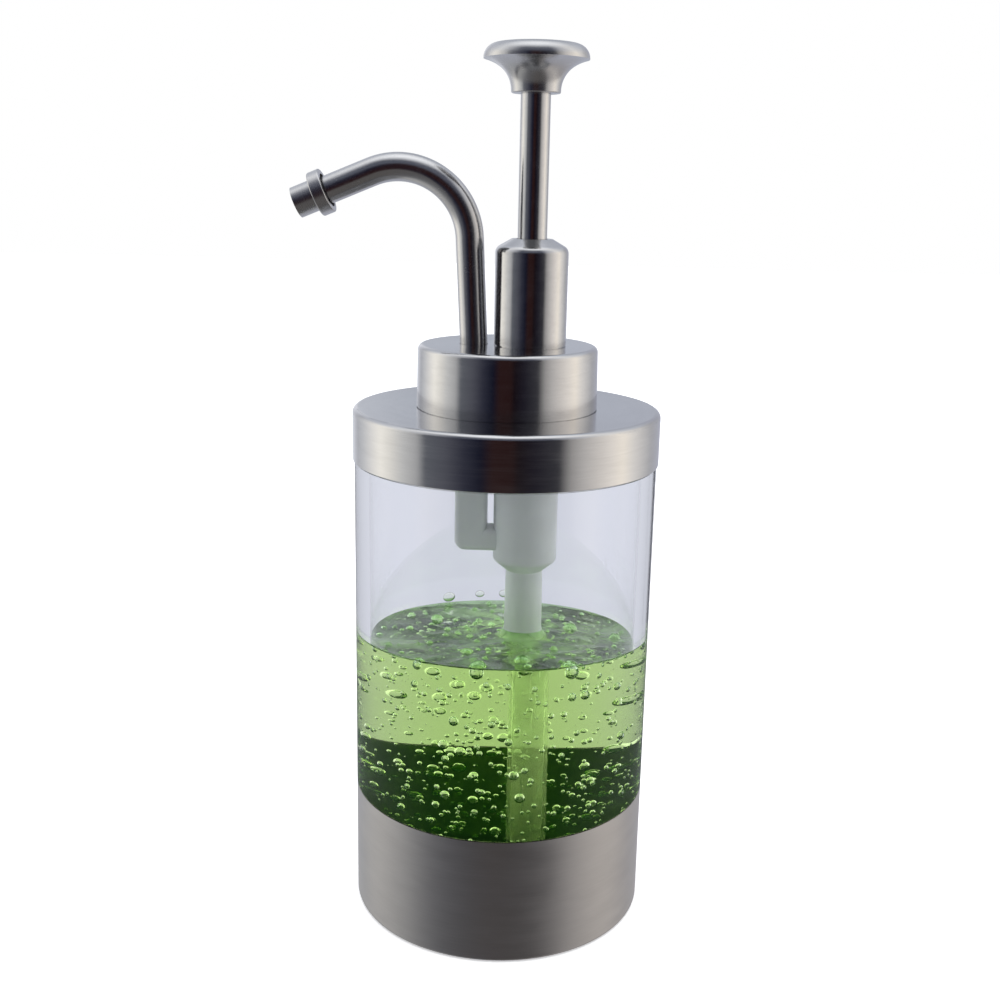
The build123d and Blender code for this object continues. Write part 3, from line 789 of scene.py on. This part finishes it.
# Light from above the room and below the ceiling
SKY_LIGHT = (
    (-180, (0.50, 0.53, 0.59)),
    (-140, (0.72, 0.75, 0.82)),
    (-95, (1.10, 1.11, 1.12)),
    (-60, (0.55, 0.56, 0.60)),
    (-38, (0.13, 0.14, 0.18)),
    (38, (0.13, 0.14, 0.18)),
    (60, (0.65, 0.66, 0.70)),
    (95, (1.15, 1.13, 1.10)),
    (140, (0.72, 0.75, 0.82)),
    (180, (0.50, 0.53, 0.59)),
)
# Light on the plastic inside the jar, which is stronger from the right
FILL_LIGHT = (
    (-180, (0.75, 0.76, 0.78)),
    (-120, (1.80, 1.83, 1.88)),
    (-85, (2.00, 2.03, 2.08)),
    (-50, (0.50, 0.51, 0.53)),
    (0, (0.34, 0.35, 0.36)),
    (40, (0.50, 0.51, 0.52)),
    (75, (1.80, 1.81, 1.82)),
    (110, (2.20, 2.20, 2.20)),
    (140, (1.20, 1.22, 1.24)),
    (180, (0.75, 0.76, 0.78)),
)
CEILING_LIGHT = (1.45, 1.47, 1.50)
WALL_LOW = (0.60, 0.63, 0.71)  # the wall seen through the jar, far below eye level
WALL_HIGH = (0.86, 0.88, 0.95)  # and above it
TABLE_EDGE = (-24, -17)  # degrees of lift over which the table gives way to the room
SKY_EDGE = (18, 32)  # and the room to the light above
CEILING_EDGE = (50, 80)  # and that to the ceiling
WALL_SPREAD = (-60, 40)  # and over which the wall brightens upwards
MIRROR_SHARE = 0.35  # of the room that the clear jar's skin mirrors
SURFACE_SHARE = 0.7  # of the wall that the gel's surface mirrors
GEL_GAIN = 1.8  # on light that was mirrored inside the gel
GEL_FILL_GAIN = 2.4  # on the light that reaches plastic inside the gel
TWICE_MIRRORED_SHARE = 0.3  # of the light from above that steel mirrors in steel


def ring_of_light(tree, share, stops):
    """A Color Ramp from headings and colours, read at a share of the full turn."""
    ramp = add_node(tree, "ShaderNodeValToRGB", links={"Fac": share})
    elements = ramp.color_ramp.elements
    while len(elements) < len(stops):
        elements.new(0.5)
    for element, (heading, _) in zip(elements, stops):
        element.position = (heading + 180) / 360
    for element, (_, colour) in zip(elements, stops):
        element.color = (*colour, 1)
    return ramp.outputs["Color"]


def make_world():
    """The studio's light: white to the eye, a pale wall through the jar, a room in reflections."""
    world = bpy.data.worlds.new("studio")
    bpy.context.scene.world = world
    world.use_nodes = True
    tree = world.node_tree
    tree.nodes.clear()
    ray = add_node(tree, "ShaderNodeLightPath")
    direction = add_node(tree, "ShaderNodeTexCoord").outputs["Generated"]
    split = add_node(tree, "ShaderNodeSeparateXYZ", links={0: direction})
    back = math_node(tree, "MULTIPLY", split.outputs["Y"], -1.0)
    heading = math_node(tree, "ARCTAN2", split.outputs["X"], back)
    share = remap(tree, heading, -pi, pi, 0.0, 1.0)
    lift = math_node(tree, "ARCSINE", split.outputs["Z"])
    level = ring_of_light(tree, share, ROOM_LIGHT)
    table = ring_of_light(tree, share, TABLE_LIGHT)
    sky = ring_of_light(tree, share, SKY_LIGHT)
    fill = ring_of_light(tree, share, FILL_LIGHT)
    low = remap(tree, lift, *map(radians, TABLE_EDGE), 1.0, 0.0)
    high = remap(tree, lift, *map(radians, SKY_EDGE), 0.0, 1.0)
    highest = remap(tree, lift, *map(radians, CEILING_EDGE), 0.0, 1.0)
    above = mix_colours(tree, highest, sky, CEILING_LIGHT)
    again = remap(tree, ray.outputs["Glossy Depth"], 1.0, 2.0, 1.0, TWICE_MIRRORED_SHARE)
    above = scaled(tree, above, again)
    room = mix_colours(tree, low, level, table)
    room = mix_colours(tree, high, room, above)
    wall_rise = remap(tree, lift, *map(radians, WALL_SPREAD), 0.0, 1.0)
    wall = mix_colours(tree, wall_rise, WALL_LOW, WALL_HIGH)
    ahead = remap(tree, split.outputs["Y"], -0.25, 0.05, 1.0, 0.0)
    # A ray that the jar's or the gel's surface mirrors sees the room ahead of the object.
    # It has crossed two surfaces at the jar's wall, four at the gel's, and six inside the gel
    mirrored = math_node(tree, "MINIMUM", ray.outputs["Glossy Depth"], 1.0)
    crossed = ray.outputs["Transmission Depth"]
    facing = mix_colours(tree, ahead, wall, room)
    dimmed = scaled(tree, facing, remap(tree, crossed, 2.0, 4.0, 1.0, SURFACE_SHARE))
    raised = scaled(tree, facing, remap(tree, crossed, 4.0, 6.0, SURFACE_SHARE, GEL_GAIN))
    in_gel = remap(tree, crossed, 4.0, 5.0, 0.0, 1.0)
    wall = mix_colours(tree, mirrored, wall, mix_colours(tree, in_gel, dimmed, raised))
    lit = math_node(tree, "MINIMUM", ray.outputs["Diffuse Depth"], 1.0)
    fill = scaled(tree, fill, remap(tree, in_gel, 0.0, 1.0, 1.0, GEL_FILL_GAIN))
    wall = mix_colours(tree, lit, wall, fill)
    on_skin = remap(tree, ray.outputs["Is Singular Ray"], 0.0, 1.0, 1.0, MIRROR_SHARE)
    room = scaled(tree, room, on_skin)
    seen = mix_colours(tree, ray.outputs["Is Transmission Ray"], room, wall)
    seen = mix_colours(tree, ray.outputs["Is Camera Ray"], seen, (1.0, 1.0, 1.0))
    light = add_node(tree, "ShaderNodeBackground", links={"Color": seen})
    output = add_node(tree, "ShaderNodeOutputWorld")
    tree.links.new(light.outputs[0], output.inputs["Surface"])


def make_soft_box():
    """A large soft light overhead, which the steel doesn't mirror."""
    lamp = bpy.data.lights.new("soft_box", "AREA")
    lamp.shape = "RECTANGLE"
    lamp.size, lamp.size_y = 1.2, 1.0
    lamp.energy = 5.0
    box = bpy.data.objects.new("soft_box", lamp)
    bpy.context.scene.collection.objects.link(box)
    box.location = (0.1, -0.1, 1.1)
    box.visible_glossy = False
    box.visible_transmission = False


def make_camera():
    """The camera: in front of the object, a little above it, looking down."""
    distance, height, lens = 0.3484, 0.2093, 45.27
    azimuth, pan, tilt, roll = (radians(a) for a in (2.58, -0.22, 14.18, 1.15))
    heading = pan - azimuth
    forward = Vector((sin(heading) * cos(tilt), cos(heading) * cos(tilt), -sin(tilt)))
    level = Vector((cos(heading), -sin(heading), 0))
    upright = level.cross(forward)
    right = level * cos(roll) + upright * sin(roll)
    up = upright * cos(roll) - level * sin(roll)
    data = bpy.data.cameras.new("camera")
    data.sensor_width = 36.0
    data.lens = lens
    data.clip_start, data.clip_end = 0.01, 20.0
    camera = bpy.data.objects.new("camera", data)
    bpy.context.scene.collection.objects.link(camera)
    place = Vector((distance * sin(azimuth), -distance * cos(azimuth), height))
    turned = Matrix((right, up, -forward)).transposed().to_4x4()
    camera.matrix_world = Matrix.Translation(place) @ turned
    bpy.context.scene.camera = camera


def set_view():
    """Plain colours, and enough bounces for light that crosses the jar, the gel and bubbles."""
    scene = bpy.context.scene
    scene.view_settings.view_transform = "Standard"
    scene.cycles.max_bounces = 28
    scene.cycles.transmission_bounces = 28
    scene.cycles.glossy_bounces = 8
    scene.cycles.diffuse_bounces = 4
    scene.cycles.caustics_reflective = False
    scene.cycles.use_denoising = True


dress_cad_nodes()
make_gel()
make_spring()
make_floor()
make_world()
make_soft_box()
make_camera()
set_view()
